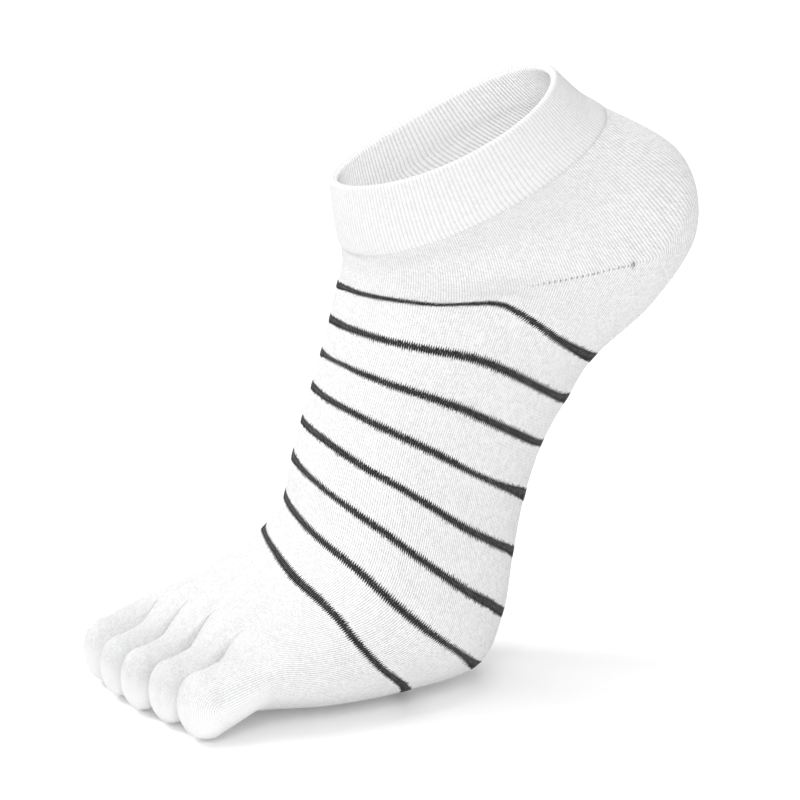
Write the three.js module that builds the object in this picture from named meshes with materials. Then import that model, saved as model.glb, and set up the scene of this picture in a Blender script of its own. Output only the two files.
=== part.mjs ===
// A low-cut five-toe sock for the right foot, in the pose of the photo: heel raised, toes forward.
// Millimetres, +Z up, toes towards -Y, the big toe's side towards +X. The origin is the middle of the opening.
import * as THREE from "three";

// Driving sizes
const HEIGHT = 172; // from the opening's middle down to the sole under the ball
const LENGTH = 195; // from the back of the heel to the toe tips, along the floor
const WIDTH = 87; // across the ball of the foot
const JERSEY = 1.6; // wall of the knitted tube and of the toe pockets
const WELT = 2.4; // wall of the doubled rib at the opening
const STRIPE_SHARE = 0.155; // a stripe's width, as a share of the step from one stripe to the next
const STRIPE_MIN = 1.4; // limits of that width, where the knitting is drawn in or stretched
const STRIPE_MAX = 2.7;
const STRIPE_THICKNESS = 0.5;
const GROOVE = 0.8; // depth in the jersey that a stripe lies in
const GAP = 0.3; // left between neighbouring pieces
const WEB_NOTCH = 2.6; // depth of the valley between two toes where they leave the body
const NOTCH_REACH = 3.2; // half-width of that valley
const LOWER_NOTCH = 0.45; // the same valley under the toes, as a share of the upper one
const SECTION_POWER = 2.1; // 2 is an ellipse, more is squarer
const TOE_POWER = 2.3;
const TOE_ARCH = 1.4; // how far a toe's underside rises between its root and its pad

// Sections of the tube, from the opening to the toes. Each is an oval between a point on top of the foot and a
// point on its underside. The columns after the name are: top y, top z, underside y, underside z, half-width,
// middle x, yaw (how far the big toe's side runs ahead of the other), sag (how far both sides hang towards the
// toes) and lift (how far the course rises towards the opening beside the heel, in rows). y is a share of LENGTH,
// z of HEIGHT, half-width and x of WIDTH, yaw and sag of the half-width.
const SECTIONS = [
  ["rim", -0.186, -0.087, 0.179, 0.093, 0.331, 0, 0.06, 0.1, 0],
  ["welt", -0.178, -0.154, 0.231, 0.041, 0.349, 0, 0.03, 0.06, 0],
  ["welt_foot", -0.167, -0.212, 0.273, 0.012, 0.371, 0, 0, 0.02, 0],
  ["achilles", -0.163, -0.23, 0.414, -0.087, 0.397, 0, 0, 0, 0],
  ["gore", -0.163, -0.244, 0.445, -0.227, 0.393, 0, 0, 0, 0.05],
  ["heel", -0.165, -0.258, 0.366, -0.351, 0.377, 0, 0, 0, 0.55],
  ["stripe_1", -0.169, -0.276, 0.253, -0.444, 0.362, 0, 0, 0, 0.97],
  ["stripe_2", -0.181, -0.34, 0.202, -0.512, 0.368, 0, 0, 0, 0.33],
  ["stripe_3", -0.196, -0.403, 0.154, -0.59, 0.368, 0, 0.01, 0, 0.06],
  ["stripe_4", -0.214, -0.467, 0.123, -0.682, 0.371, 0, -0.01, 0, 0],
  ["stripe_5", -0.232, -0.532, 0.101, -0.783, 0.391, 0, -0.04, 0, 0],
  ["stripe_6", -0.249, -0.598, 0.081, -0.891, 0.414, 0.003, -0.08, 0, 0],
  ["stripe_7", -0.263, -0.669, 0.03, -0.974, 0.444, 0.008, -0.13, 0, 0],
  ["stripe_8", -0.297, -0.73, -0.11, -0.995, 0.471, 0.005, -0.12, 0, 0],
  ["knuckle", -0.355, -0.776, -0.262, -1.003, 0.49, -0.014, -0.06, 0, 0],
  ["web", -0.41, -0.811, -0.392, -0.997, 0.483, -0.041, 0.04, 0, 0],
];
const row = (name) => SECTIONS.findIndex((s) => s[0] === name);
const LAST = SECTIONS.length - 1;

// Where the lift peaks round the section, and how far it spreads (degrees from the top of the foot).
const LIFT_AT = 71;
const LIFT_SPREAD = 28;

// Toes, from the big one. The columns after the name are: the web on its inner side, the web on its outer side
// (shares of the section's half-width, 1 is the big toe's side), tip x, tip y, half-width and half-height at the
// tip, and the number of faces across its top. Tip x and both halves are shares of WIDTH, y of LENGTH.
const TOES = [
  ["toe_1_big", 1, 0.51, 0.32, -0.487, 0.107, 0.122, 5],
  ["toe_2", 0.51, 0.116, 0.11, -0.499, 0.089, 0.115, 3],
  ["toe_3", 0.116, -0.25, -0.068, -0.511, 0.084, 0.113, 3],
  ["toe_4", -0.25, -0.624, -0.246, -0.509, 0.084, 0.11, 3],
  ["toe_5_little", -0.624, -1, -0.428, -0.498, 0.087, 0.115, 5],
];
const TOE_WALL_FACES = 3; // faces up each flat side between two toes
const TOE_STEPS = [0, 0.12, 0.28, 0.48, 0.72, 1]; // sections from the web to the middle of the tip
const DOME_STEPS = [22, 44, 66]; // degrees round the tip's dome
const BLEND_END = 0.75; // share of a toe's length over which the D shape turns round
const SOLE = -1; // the toes rest on this height, a share of HEIGHT

const rad = THREE.MathUtils.degToRad;
const mix = THREE.MathUtils.lerp;
const smooth = (t) => THREE.MathUtils.smoothstep(t, 0, 1);
const TABLE = SECTIONS.map(([, ...v]) => [
  v[0] * LENGTH, v[1] * HEIGHT, v[2] * LENGTH, v[3] * HEIGHT, v[4] * WIDTH, v[5] * WIDTH, v[6], v[7], v[8],
]);

// One column of the table at a fractional row, as a Catmull-Rom curve.
function column(c, s) {
  const i = Math.min(Math.max(Math.floor(s), 0), LAST - 1);
  const t = s - i;
  const at = (k) => {
    if (k < 0) return 2 * TABLE[0][c] - TABLE[1][c];
    if (k > LAST) return 2 * TABLE[LAST][c] - TABLE[LAST - 1][c];
    return TABLE[k][c];
  };
  const [a, b, d, e] = [at(i - 1), at(i), at(i + 1), at(i + 2)];
  return b + 0.5 * t * (d - a + t * (2 * a - 5 * b + 4 * d - e + t * (3 * (b - d) + e - a)));
}

// Angle round a section, from the top of the foot towards the big toe's side, for a share of the half-width.
const angleOf = (share) => Math.asin(Math.sign(share) * Math.abs(share) ** (SECTION_POWER / 2));
const WEBS = TOES.slice(1).map(([, inner]) => inner);

// Depth of the valleys between the toes at a share of the half-width.
function notch(s, share, lower) {
  const depth = WEB_NOTCH * smooth((s - row("knuckle")) / (LAST - row("knuckle"))) * (lower ? LOWER_NOTCH : 1);
  const reach = NOTCH_REACH / TABLE[LAST][4];
  return WEBS.reduce((d, web) => Math.max(d, depth * Math.exp(-(((share - web) / reach) ** 2))), 0);
}

// A point of the tube's outer surface at a fractional row and an angle.
function surface(s0, angle) {
  const turn = Math.abs(Math.atan2(Math.sin(angle), Math.cos(angle)));
  const bump = Math.exp(-(((turn - rad(LIFT_AT)) / rad(LIFT_SPREAD)) ** 2));
  const s = s0 - column(8, s0) * bump;
  const [topY, topZ, lowY, lowZ, half, midX, yaw, sag] = [0, 1, 2, 3, 4, 5, 6, 7].map((c) => column(c, s));
  const c = Math.cos(angle);
  const along = Math.sign(c) * Math.abs(c) ** (2 / SECTION_POWER);
  const side = Math.sign(Math.sin(angle)) * Math.abs(Math.sin(angle)) ** (2 / SECTION_POWER);
  const [dy, dz] = [(topY - lowY) / 2, (topZ - lowZ) / 2];
  const size = Math.hypot(dy, dz);
  const reach = along * (1 - (Math.abs(c) < 1e-9 ? 0 : notch(s, side, c < 0)) / size);
  const shear = (half * (side * yaw - side * side * sag)) / size;
  return new THREE.Vector3(
    midX + half * side,
    (topY + lowY) / 2 + dy * reach + dz * shear,
    (topZ + lowZ) / 2 + dz * reach - dy * shear,
  );
}

// The same point moved along the foot (positive towards the toes) and out of the surface. A stripe's edges are
// moved by half its width as well: edge is -1 on the side of the opening, 1 on the side of the toes.
function skin(s, angle, alongMm, outMm, edge = 0) {
  const step = 0.01;
  const s1 = Math.max(s - step, 0);
  const s2 = Math.min(s + step, LAST);
  const down = surface(s2, angle).sub(surface(s1, angle)).divideScalar(s2 - s1);
  const width = THREE.MathUtils.clamp(STRIPE_SHARE * down.length(), STRIPE_MIN, STRIPE_MAX);
  down.normalize();
  const round = surface(s, angle + step).sub(surface(s, angle - step)).normalize();
  const out = new THREE.Vector3().crossVectors(down, round).normalize();
  return surface(s, angle).addScaledVector(down, alongMm + (edge * width) / 2).addScaledVector(out, outMm);
}

// Angles round every section: even steps across each toe, the same above and below.
const TOP = [];
for (const [, inner, outer, , , , , faces] of TOES)
  for (let i = 0; i < faces; i++) TOP.push(mix(angleOf(inner), angleOf(outer), i / faces));
TOP.push(angleOf(-1));
const ROUND = [...TOP, ...TOP.slice(1, -1).reverse().map((a) => Math.PI - a)];
const ring = (s, alongMm, outMm, edge) => ROUND.map((a) => skin(s, a, alongMm, outMm, edge));

function meshOf(name, points, faces, material) {
  const geometry = new THREE.BufferGeometry();
  geometry.setAttribute("position", new THREE.Float32BufferAttribute(points.flatMap((p) => p.toArray()), 3));
  geometry.setIndex(faces.flat());
  geometry.computeVertexNormals();
  const mesh = new THREE.Mesh(geometry, material);
  mesh.name = name;
  return mesh;
}

// Two triangles for each step between neighbouring rings.
function strip(first, second, count) {
  const faces = [];
  for (let i = 0; i < count; i++) {
    const j = (i + 1) % count;
    faces.push([first + i, second + j, second + i], [first + i, first + j, second + j]);
  }
  return faces;
}

// A closed body from rings that run down the outside and back up the inside.
function tube(name, rings, material) {
  const count = rings[0].length;
  const faces = rings.flatMap((_, k) => strip(k * count, ((k + 1) % rings.length) * count, count));
  return meshOf(name, rings.flat(), faces, material);
}

const jersey = (colour) => new THREE.MeshStandardMaterial({ color: colour, roughness: 0.95, metalness: 0 });
const WHITE = 0xf4f4f2;
const BLACK = 0x262626;

function cuff() {
  const foot = row("welt_foot");
  return tube("cuff", [
    ring(0, 0, -0.3 * WELT),
    ring(0, 0.35 * WELT, 0),
    ring(0.5, 0, 0),
    ring(1, 0, 0),
    ring(1.5, 0, 0),
    ring(foot, -GAP / 2, 0),
    ring(foot, -GAP / 2, -WELT),
    ring(1, 0, -WELT),
    ring(0, 0.35 * WELT, -WELT),
    ring(0, 0, -0.7 * WELT),
  ], jersey(WHITE));
}

const STRIPES = SECTIONS.map(([name], s) => [name, s]).filter(([name]) => name.startsWith("stripe"));
const THIN = WELT - JERSEY; // the jersey starts this far inside the welt's face, so both share one inner face

function body() {
  const outside = [ring(row("welt_foot"), GAP / 2, -THIN), ring(row("welt_foot") + 0.45, 0, -THIN / 2)];
  for (const s of [3, 3.4, 3.75, 4.1, 4.5, 5, 5.45]) outside.push(ring(s, 0, 0));
  for (const [, s] of STRIPES) {
    for (const [edge, depth] of [[-1, 0], [-1, GROOVE], [1, GROOVE], [1, 0]])
      outside.push(ring(s, edge * GAP, -depth, edge));
    outside.push(ring(s + 0.5, 0, 0));
  }
  for (const s of [LAST - 1, LAST - 0.6, LAST - 0.3]) outside.push(ring(s, 0, 0));
  outside.push(ring(LAST, -GAP / 2, 0));
  const inside = [ring(LAST, -GAP / 2, -JERSEY)];
  for (const s of [14.5, 14, 13, 12, 11, 10, 9, 8, 7, 6, 5.4, 4.7, 4, 3.4, 2.8]) inside.push(ring(s, 0, -JERSEY));
  inside.push(ring(row("welt_foot"), GAP / 2, -WELT));
  return tube("foot_body", [...outside, ...inside], jersey(WHITE));
}

function stripe(name, s) {
  const low = -GROOVE + GAP / 2;
  const high = low + STRIPE_THICKNESS;
  return tube(name, [ring(s, 0, high, -1), ring(s, 0, high, 1), ring(s, 0, low, 1), ring(s, 0, low, -1)], jersey(BLACK));
}

// A toe's section where it leaves the body: the body's own edge over the toe, closed by a flat side at each web.
// Each point comes with the angle of the round section that it turns into (0 is the big toe's side, 90 is up).
function root(inner, outer, faces) {
  const points = [];
  const edge = (share, lower) => {
    const angle = angleOf(share);
    return skin(LAST, lower ? Math.PI - angle : angle, GAP / 2, 0);
  };
  const arc = (from, to, lower, start, end) => {
    for (let i = 0; i < faces; i++) {
      const angle = mix(angleOf(from), angleOf(to), i / faces);
      points.push([skin(LAST, lower ? Math.PI - angle : angle, GAP / 2, 0), mix(start, end, i / faces)]);
    }
  };
  const side = (share, down, start, end) => {
    const [a, b] = [edge(share, !down), edge(share, down)];
    for (let i = 0; i < TOE_WALL_FACES; i++)
      points.push([a.clone().lerp(b, i / TOE_WALL_FACES), mix(start, end, i / TOE_WALL_FACES)]);
  };
  const [innerWeb, outerWeb] = [inner < 1, outer > -1];
  arc(inner, outer, false, innerWeb ? 50 : 0, outerWeb ? 130 : 180);
  if (outerWeb) side(outer, true, 130, 230);
  arc(outer, inner, true, outerWeb ? 230 : 180, innerWeb ? 310 : 360);
  if (innerWeb) side(inner, false, 310, 410);
  // Half the gap between two toes is taken off at each web.
  for (const [p] of points) {
    const [low, high] = [edge(outer, false).x, edge(inner, false).x];
    if (outerWeb) p.x = Math.max(p.x, low + GAP / 2);
    if (innerWeb) p.x = Math.min(p.x, high - GAP / 2);
  }
  return points;
}

function toe([name, inner, outer, tipX, tipY, tipHalf, tipRise, faces]) {
  const base = root(inner, outer, faces);
  const middle = base.reduce((sum, [p]) => sum.add(p), new THREE.Vector3()).divideScalar(base.length);
  const [half, rise] = [tipHalf * WIDTH, tipRise * WIDTH];
  const tip = new THREE.Vector3(tipX * WIDTH, tipY * LENGTH, SOLE * HEIGHT + rise);
  const rings = [];
  for (const t of TOE_STEPS) {
    const centre = middle.clone().lerp(tip, t);
    const blend = smooth(Math.min(t / BLEND_END, 1));
    rings.push({ centre, points: base.map(([p, degrees]) => {
      const a = rad(degrees);
      const round = new THREE.Vector3(half * Math.cos(a), 0, rise * Math.sin(a)).add(centre);
      const point = p.clone().sub(middle).add(centre).lerp(round, blend);
      point.z += TOE_ARCH * Math.sin(Math.PI * t) * Math.max(-Math.sin(a), 0);
      return point;
    }) });
  }
  for (const degrees of DOME_STEPS) {
    const lean = Math.cos(rad(degrees)) ** (2 / TOE_POWER);
    const centre = tip.clone();
    centre.y -= half * Math.sin(rad(degrees)) ** (2 / TOE_POWER);
    rings.push({ centre, points: base.map(([, d]) => new THREE.Vector3(
      half * lean * Math.cos(rad(d)), 0, rise * lean * Math.sin(rad(d))).add(centre)) });
  }
  const count = base.length;
  const points = rings.flatMap((r) => r.points);
  points.push(tip.clone().setY(tip.y - half));
  const outerPole = points.length - 1;
  // The inside: the same rings, a wall's thickness nearer to the middle and to the web.
  const inward = points.length;
  rings.forEach(({ centre, points: ringPoints }, k) => {
    for (const p of ringPoints) {
      const spoke = p.clone().sub(centre);
      const q = centre.clone().addScaledVector(spoke, Math.max(1 - JERSEY / spoke.length(), 0.3));
      if (k >= TOE_STEPS.length) q.y += (JERSEY * (tip.y - centre.y)) / half;
      points.push(q);
    }
  });
  points.push(tip.clone().setY(tip.y - half + JERSEY));
  const innerPole = points.length - 1;
  const triangles = [];
  for (let k = 0; k + 1 < rings.length; k++) {
    triangles.push(...strip(k * count, (k + 1) * count, count));
    triangles.push(...strip(inward + (k + 1) * count, inward + k * count, count));
  }
  const end = (rings.length - 1) * count;
  for (let i = 0; i < count; i++) {
    const j = (i + 1) % count;
    triangles.push([end + i, end + j, outerPole], [inward + end + i, innerPole, inward + end + j]);
  }
  triangles.push(...strip(inward, 0, count));
  return meshOf(name, points, triangles, jersey(WHITE));
}

const sock = new THREE.Group();
sock.name = "toe_sock";
sock.add(cuff(), body());
for (const [name, s] of STRIPES) sock.add(stripe(name, s));
for (const t of TOES) sock.add(toe(t));

export default sock;
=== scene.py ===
"""A low-cut five-toe sock in white cotton jersey with eight thin black stripes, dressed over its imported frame."""
import bpy
import numpy as np
from mathutils import Matrix, Vector


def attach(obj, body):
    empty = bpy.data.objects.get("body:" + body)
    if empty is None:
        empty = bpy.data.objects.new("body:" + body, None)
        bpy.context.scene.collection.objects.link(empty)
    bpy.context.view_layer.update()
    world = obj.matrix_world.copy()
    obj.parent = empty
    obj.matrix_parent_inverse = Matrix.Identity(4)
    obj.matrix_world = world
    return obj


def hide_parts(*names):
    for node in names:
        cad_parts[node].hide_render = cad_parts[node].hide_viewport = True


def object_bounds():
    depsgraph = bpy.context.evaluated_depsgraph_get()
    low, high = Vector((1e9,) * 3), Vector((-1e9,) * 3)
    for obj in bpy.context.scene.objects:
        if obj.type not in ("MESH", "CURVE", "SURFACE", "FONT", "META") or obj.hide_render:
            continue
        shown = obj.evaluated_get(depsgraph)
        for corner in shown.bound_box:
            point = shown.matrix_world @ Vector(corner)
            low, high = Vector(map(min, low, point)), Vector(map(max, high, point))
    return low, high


bl_info = {
    "name": "Toe sock",
    "version": (1, 0, 0),
    "blender": (4, 5, 0),
    "location": "3D Viewport > Sidebar > Toe sock",
    "description": "Knits the tube, welt, stripes and toe pockets of a low-cut five-toe sock",
    "category": "Mesh",
}

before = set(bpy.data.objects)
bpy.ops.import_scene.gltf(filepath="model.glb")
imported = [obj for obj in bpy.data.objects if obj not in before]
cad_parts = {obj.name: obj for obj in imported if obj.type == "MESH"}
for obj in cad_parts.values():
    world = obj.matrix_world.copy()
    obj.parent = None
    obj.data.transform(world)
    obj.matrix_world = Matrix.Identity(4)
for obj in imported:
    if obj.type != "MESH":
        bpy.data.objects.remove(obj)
CAD_BOX = [list(corner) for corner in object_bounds()]

# Sizes of the whole sock in millimetres, as the frame has them.
HEIGHT, LENGTH, WIDTH = 172.0, 195.0, 87.0
JERSEY, WELT = 1.6, 2.4

# Sections of the tube from the opening to the toes, in shares of LENGTH (y), HEIGHT (z) and WIDTH (x, half-width):
# top y, top z, underside y, underside z, half-width, middle x, yaw, sag.
SECTIONS = {
    "rim": (-0.186, -0.087, 0.179, 0.093, 0.331, 0, 0.06, 0.1),
    "welt": (-0.178, -0.154, 0.231, 0.041, 0.349, 0, 0.03, 0.06),
    "welt_foot": (-0.167, -0.212, 0.273, 0.012, 0.371, 0, 0, 0.02),
    "achilles": (-0.163, -0.23, 0.414, -0.087, 0.397, 0, 0, 0),
    "gore": (-0.163, -0.244, 0.445, -0.227, 0.393, 0, 0, 0),
    "heel": (-0.165, -0.258, 0.366, -0.351, 0.377, 0, 0, 0),
    "stripe_1": (-0.169, -0.276, 0.253, -0.444, 0.362, 0, 0, 0),
    "stripe_2": (-0.181, -0.34, 0.202, -0.512, 0.368, 0, 0, 0),
    "stripe_3": (-0.196, -0.403, 0.154, -0.59, 0.368, 0, 0.01, 0),
    "stripe_4": (-0.214, -0.467, 0.123, -0.682, 0.371, 0, -0.01, 0),
    "stripe_5": (-0.232, -0.532, 0.101, -0.783, 0.391, 0, -0.04, 0),
    "stripe_6": (-0.249, -0.598, 0.081, -0.891, 0.414, 0.003, -0.08, 0),
    "stripe_7": (-0.263, -0.669, 0.03, -0.974, 0.444, 0.008, -0.13, 0),
    "stripe_8": (-0.297, -0.73, -0.11, -0.995, 0.471, 0.005, -0.12, 0),
    "knuckle": (-0.355, -0.776, -0.262, -1.003, 0.49, -0.014, -0.06, 0),
    "web": (-0.41, -0.811, -0.392, -0.997, 0.483, -0.041, 0.04, 0),
}
ROWS = list(SECTIONS)
LAST = len(ROWS) - 1
STRIPE_ROWS = [row for row, name in enumerate(ROWS) if name.startswith("stripe")]
SCALES = np.array([LENGTH, HEIGHT, LENGTH, HEIGHT, WIDTH, WIDTH, 1, 1])
TABLE = np.array(list(SECTIONS.values())) * SCALES
SECTION_POWER = 2.1

# How far each course rises towards the opening, in hundredths of a row, every 10 degrees from 20 before the top of
# the foot, on the little toe's side, to 140 on the big toe's side. The first stripes climb beside the heel, where its
# cloth pushes them.
RISE_STEP, RISE_FROM = 10, -20
RISE = {
    "stripe_1": (-3, -3, 0, 2, 10, 23, 40, 59, 87, 101, 79, 53, 33, 20, 11, 5, 2),
    "stripe_2": (3, 2, 1, 1, 3, 5, 10, 16, 23, 30, 32, 27, 19, 11, 5, 0, 0),
    "stripe_3": (9, 6, 3, 2, 0, 0, 1, 4, 7, 9, 9, 6, 3, 1, -1, -2, -1),
    "stripe_4": (16, 11, 5, 2, 0, -1, -2, -1, -1, -1, -2, -4, -4, -3, -1, 0, 0),
    "stripe_5": (21, 14, 8, 4, 0, -3, -5, -4, -3, -4, -5, -7, -6, -4, -2, 0, 0),
    "stripe_6": (20, 12, 4, -1, -5, -6, -6, -5, -5, -6, -6, -6, -5, -3, 0, 0, 0),
    "stripe_7": (12, 3, -4, -9, -11, -10, -8, -7, -8, -9, -9, -7, -4, -1, 0, 0, 0),
    "stripe_8": (10, 1, -7, -15, -20, -20, -17, -15, -15, -17, -16, -14, -10, -4, 0, 0, 0),
}
# Rows beside the striped ones take a share of a stripe's rise.
RISE_FADES = {"gore": ("stripe_1", 0.05), "heel": ("stripe_1", 0.55), "knuckle": ("stripe_8", 0.5)}

# Toes: web on the inner side, web on the outer side (shares of the half-width), tip x, tip y, half-width and
# half-height at the tip (shares of WIDTH and LENGTH).
TOES = {
    "toe_1_big": (1, 0.51, 0.32, -0.487, 0.107, 0.122),
    "toe_2": (0.51, 0.116, 0.11, -0.499, 0.089, 0.115),
    "toe_3": (0.116, -0.25, -0.068, -0.511, 0.084, 0.113),
    "toe_4": (-0.25, -0.624, -0.246, -0.509, 0.084, 0.11),
    "toe_5_little": (-0.624, -1, -0.428, -0.498, 0.087, 0.115),
}
# Valleys between the toes on the body: web share, depth above, how far back the valley runs (rows), its half-width.
VALLEYS = [(0.51, 2.8, 1.5, 3.4), (0.116, 2.4, 0.8, 3.0), (-0.25, 2.4, 1.1, 3.0), (-0.624, 2.4, 1.1, 3.0)]
LOWER_VALLEY = 0.45
TOE_POWER = 2.3  # 2 is an ellipse, more is squarer
TOE_ARCH = 1.4  # mm that a toe's underside rises between its root and its pad
TOE_TUCK = 1.2  # mm that a pocket reaches back under the tube's edge
BLEND_END = 0.75  # share of a pocket's length after which it is round
WEB_TURN = 50  # degrees of the round section, above and below its side, that a web's flat wall turns into

TUBE_START = 1.93  # row where the jersey begins, behind the welt

# A stripe's width: a share of the step from row to row, between two limits in mm.
STRIPE_SHARE, STRIPE_WIDTHS = 0.155, (1.3, 2.4)
# Its section: share of the width across it and mm above the jersey's plain surface.
STRIPE_PROFILE = ((0, -0.35), (0, -0.02), (0.12, 0.07), (0.5, 0.12), (0.88, 0.07), (1, -0.02), (1, -0.35), (0.5, -0.4))

# Angles, in degrees from the top of the foot, along which its length is measured in front and behind.
FRONT_DEGREES, BACK_DEGREES = (0, 30, 60, 300, 330), (160, 180, 200)

# The heel's join: the true sections and the step in degrees that it is worked out over, the last row of the line down
# the back and the sole, and the row on it where the back of the leg ends and the sole begins.
HEEL_ROWS, HEEL_DEGREES = np.linspace(1.85, 9.5, 180), 2
HEEL_LINE_END, HEEL_BACK = 11, 4.0
# How much closer the leg's wales lie towards the back (mm, over the star's distance from it in mm), and how far the
# cloth is stretched there.
HEEL_EASE, HEEL_DOT, HEEL_STRETCH = 14.9, 49.0, 0.914
# The star and the join's front end on the flattened side (y and z in mm).
HEEL_STAR, HEEL_FRONT = np.array([32.4, -42.5]), np.array([-11.1, -44.5])

# The join's holes in mm: from one to the next, half-width, and where along the join they begin and fade out. Their
# darkness and the star's, and how much narrower than long the star is, as a share.
HOLE_GAP, HOLE_REACH, HOLE_FADES = 1.9, 0.5, ((-0.5, 0.5), (40.0, 28.0))
HOLE_DEPTH, STAR_DEPTH, STAR_WIDENING = 0.8, 0.9, 0.35

# Plain knitting: how far a leg of a loop slants over half a wale, in courses, how soon loops fade where the cloth is
# pulled smooth, and the height that its grooves are smoothed to and by how much.
LEG_SLANT, CALMING, MEAN_HEIGHT, SMOOTHED = 0.55, 2.4, 0.4, 0.7
# Yarn unevenness in clouds of 6 mm, and fibres of 0.45 mm, drawn coarser than real cotton lint so that they show.
CLOUD_SIZE, LINT_SIZE = 0.006, 0.00045
# Their shares of the colour and of the relief, beside the loops' own height, and where the colour bands start.
CLOUD_TONE, LINT_TONE, STITCH_TONE = 0.1, 0.3, 0.3
LINT_RELIEF, STITCH_RELIEF = 0.25, 0.15
BAND_START = 0.25

# Colours that go with those of the panel.
HOLE_COLOUR = "#8e8e90"
# The rib welt's outside: the white cotton painted darker, as painted shade, with more painted shade in its grooves.
RIB_SHADED_CROWN, RIB_SHADED_GROOVE = "#e0e0e0", "#c6c6c7"
STRIPE_SHADE, BACKING_FLECK = "#141415", "#8c8c8e"
FLOOR_SHADE = "#f2f2f2"

# Soft square lights, all turned to the middle of the foot: place and size in metres, power in watts.
LIGHTS = {
    "key_from_the_toes": ((-0.85, -1.2, 1.65), 0.8, 21),
    "fill_by_the_camera": ((1.5, -0.9, 0.8), 0.8, 15),
    "fill_from_above": ((0.1, 0.0, 1.9), 0.9, 8),
    "fill_from_the_left": ((-1.8, -0.4, 0.9), 0.8, 6),
}
LIT_PLACE = (0.0, -0.01, -0.09)
ROOM_LIGHT, FLOOR_GLOW = 0.63, 0.12
# The floor in metres: half its width, how far it lies under the lowest toe, and the size of its paper's clouds.
FLOOR_REACH, FLOOR_DROP, FLOOR_CLOUD = 12.0, 0.0004, 0.6

# The photograph's camera, in the shared frame: place in mm, azimuth from -Y and elevation in degrees, and focal length
# in pixels of a picture 800 wide.
CAMERA_AT = (1285.7, -716.6, 300.9)
AZIMUTH, ELEVATION = 61.38, 14.74
FOCAL_PIXELS, PICTURE = 4950, 800


def smooth(t):
    """Smooth step: 3t squared minus 2t cubed between 0 and 1, flat outside."""
    t = np.clip(t, 0, 1)
    return t * t * (3 - 2 * t)


def curve(values, at):
    """Catmull-Rom curve with straight ends through equally spaced values, at fractional places between them."""
    line = np.concatenate([2 * values[:1] - values[1:2], values, 2 * values[-1:] - values[-2:-1]])
    i = np.clip(np.floor(at).astype(int), 0, len(values) - 2)
    t = (at - i).reshape(np.shape(at) + (1,) * (values.ndim - 1))
    a, b, d, e = line[i], line[i + 1], line[i + 2], line[i + 3]
    return b + 0.5 * t * (d - a + t * (2 * a - 5 * b + 4 * d - e + t * (3 * (b - d) + e - a)))


def lookup(grid, i, j):
    """Value of a grid at fractional places, straight between its four neighbours."""
    i, j = np.clip(i, 0, grid.shape[0] - 1.001), np.clip(j, 0, grid.shape[1] - 1.001)
    k, m = i.astype(int), j.astype(int)
    t, w = i - k, j - m
    return ((grid[k, m] * (1 - w) + grid[k, m + 1] * w) * (1 - t)
            + (grid[k + 1, m] * (1 - w) + grid[k + 1, m + 1] * w) * t)


def rise_grid():
    """The rise every tenth of a row and every degree from -180. The little toe's side mirrors the other one past 125
    degrees and is mixed with what the top of the foot has before that."""
    columns = 360 // RISE_STEP + 1
    rows = np.zeros((LAST + 1, columns))
    far = np.arange(-180, RISE_FROM, RISE_STEP)
    first, before_top = len(far), -RISE_FROM // RISE_STEP
    for name, hundredths in RISE.items():
        rise = np.array(hundredths) / 100
        near = np.append(rise[before_top:], 0)
        mirrored = np.interp(-far, np.arange(len(near)) * RISE_STEP, near)
        going_on = rise[0] + (rise[0] - rise[1]) * np.clip((RISE_FROM - far) / RISE_STEP, 0, 1.8)
        row = rows[ROWS.index(name)]
        row[:first] = mirrored + (going_on - mirrored) * (1 - smooth((-far - 45) / 80))
        row[first:first + len(rise)] = rise
    for name, (stripe, share) in RISE_FADES.items():
        rows[ROWS.index(name)] = share * rows[ROWS.index(stripe)]
    along = curve(rows, np.linspace(0, LAST, 10 * LAST + 1))
    return curve(along.T, np.linspace(0, columns - 1, 361)).T


def true_section(s, angle):
    """The section, in rows, that courses s have risen to at an angle, and that angle between -180 and 180 degrees."""
    turn = np.degrees(np.arctan2(np.sin(angle), np.cos(angle)))
    return s - lookup(RISE_GRID, s * 10, turn + 180), turn


RISE_GRID = rise_grid()


def angle_of(share):
    """Angle round a section, from the top of the foot to the big toe's side, for a share of the half-width."""
    return np.arcsin(np.sign(share) * np.abs(share) ** (SECTION_POWER / 2))


def valley(s, share, lower):
    """Depth of the valleys between the toes: a bell across each web, faded in over the rows before it."""
    depth = np.zeros(np.broadcast(s, share).shape)
    for web, deep, back, reach in VALLEYS:
        bell = np.exp(-(((share - web) * TABLE[-1, 4] / reach) ** 2))
        depth = np.maximum(depth, deep * smooth((s - LAST + back) / back) * bell)
    return np.where(lower, LOWER_VALLEY, 1) * depth


def surface(s0, angle):
    """Outer surface of the tube in mm at courses s0: the section that the course's rise takes it to."""
    s0, angle = np.broadcast_arrays(np.asarray(s0, float), np.asarray(angle, float))
    return section(true_section(s0, angle)[0], angle)


def section(s, angle):
    """Outer surface of the tube in mm at true sections: an oval of power 2.1 between the top and the underside point,
    with its sides moved along the foot by yaw and sag."""
    top_y, top_z, low_y, low_z, half, mid_x, yaw, sag = (curve(TABLE[:, k], s) for k in range(8))
    c, d = np.cos(angle), np.sin(angle)
    along = np.sign(c) * np.abs(c) ** (2 / SECTION_POWER)
    side = np.sign(d) * np.abs(d) ** (2 / SECTION_POWER)
    dy, dz = (top_y - low_y) / 2, (top_z - low_z) / 2
    size = np.hypot(dy, dz)
    reach = along * (1 - np.where(np.abs(c) < 1e-9, 0, valley(s, side, c < 0)) / size)
    shear = half * (side * yaw - side * side * sag) / size
    return np.stack([mid_x + half * side, (top_y + low_y) / 2 + dy * reach + dz * shear,
                     (top_z + low_z) / 2 + dz * reach - dy * shear], -1)


def unit(v):
    """Vectors of length 1."""
    return v / np.maximum(np.linalg.norm(v, axis=-1, keepdims=True), 1e-12)


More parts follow.
